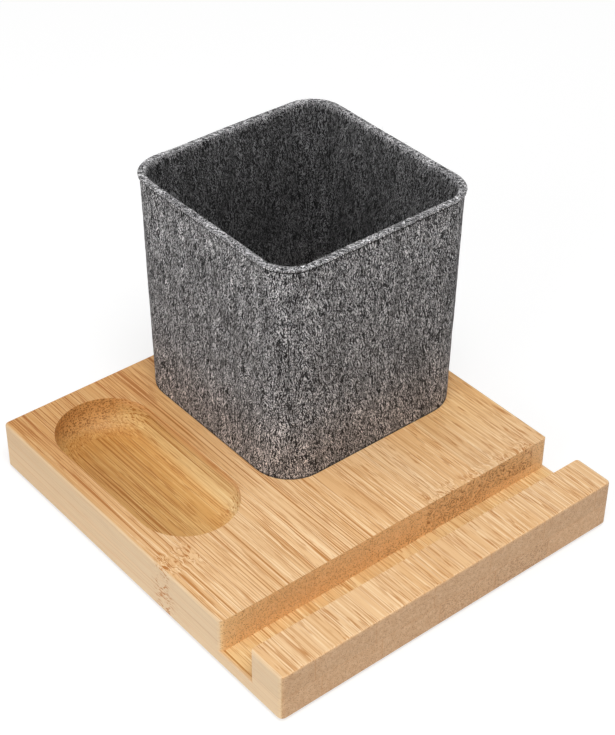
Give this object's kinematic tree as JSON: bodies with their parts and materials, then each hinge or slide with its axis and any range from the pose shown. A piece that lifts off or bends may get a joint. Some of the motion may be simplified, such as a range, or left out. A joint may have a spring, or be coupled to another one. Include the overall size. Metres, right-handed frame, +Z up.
{
  "type": "pen holder",
  "caption": "Desk organiser: a laminated bamboo board with a routed pocket and a phone slot, carrying a square grey felt pen cup with rounded corners.",
  "frame": {"origin": "centre of the object's footprint, on the surface that it stands on", "axes": "+X to the right along the slot as seen from the slot's side, +Y from the slot to the back of the board, +Z up"},
  "size_m": [0.1366, 0.1484, 0.101],
  "materials": {
    "bamboo_deck": "satin clear-oiled bamboo, fine lengthwise fibre lines",
    "bamboo_base": "satin clear-oiled bamboo, fine lengthwise fibre lines",
    "grey_felt": "pressed felt, mottled charcoal and light grey fibres",
    "panel_board": "plain hardboard",
    "screw_steel": "zinc plated",
    "foot_pad": "matt black foam rubber"
  },
  "bodies": {
    "root": {"base_strip_1": "bamboo_base", "base_strip_2": "bamboo_base", "base_strip_3": "bamboo_base", "base_strip_4": "bamboo_base", "base_strip_5": "bamboo_base", "base_strip_6": "bamboo_base", "base_strip_7": "bamboo_base", "cup_floor_pad": "grey_felt", "cup_floor_panel": "panel_board", "cup_liner": "grey_felt", "cup_outer_wall": "grey_felt", "cup_screw_left": "screw_steel", "cup_screw_right": "screw_steel", "deck_strip_1": "bamboo_deck", "deck_strip_2_back": "bamboo_deck", "deck_strip_2_front": "bamboo_deck", "deck_strip_3": "bamboo_deck", "deck_strip_4": "bamboo_deck", "deck_strip_5": "bamboo_deck", "deck_strip_6": "bamboo_deck", "deck_strip_7": "bamboo_deck", "foot_back_left": "foot_pad", "foot_back_right": "foot_pad", "foot_front_left": "foot_pad", "foot_front_right": "foot_pad", "lip_strip_1": "bamboo_deck", "lip_strip_2": "bamboo_deck", "lip_strip_3": "bamboo_deck", "lip_strip_4": "bamboo_deck", "lip_strip_5": "bamboo_deck", "lip_strip_6": "bamboo_deck", "lip_strip_7": "bamboo_deck"}
  },
  "joints": []
}
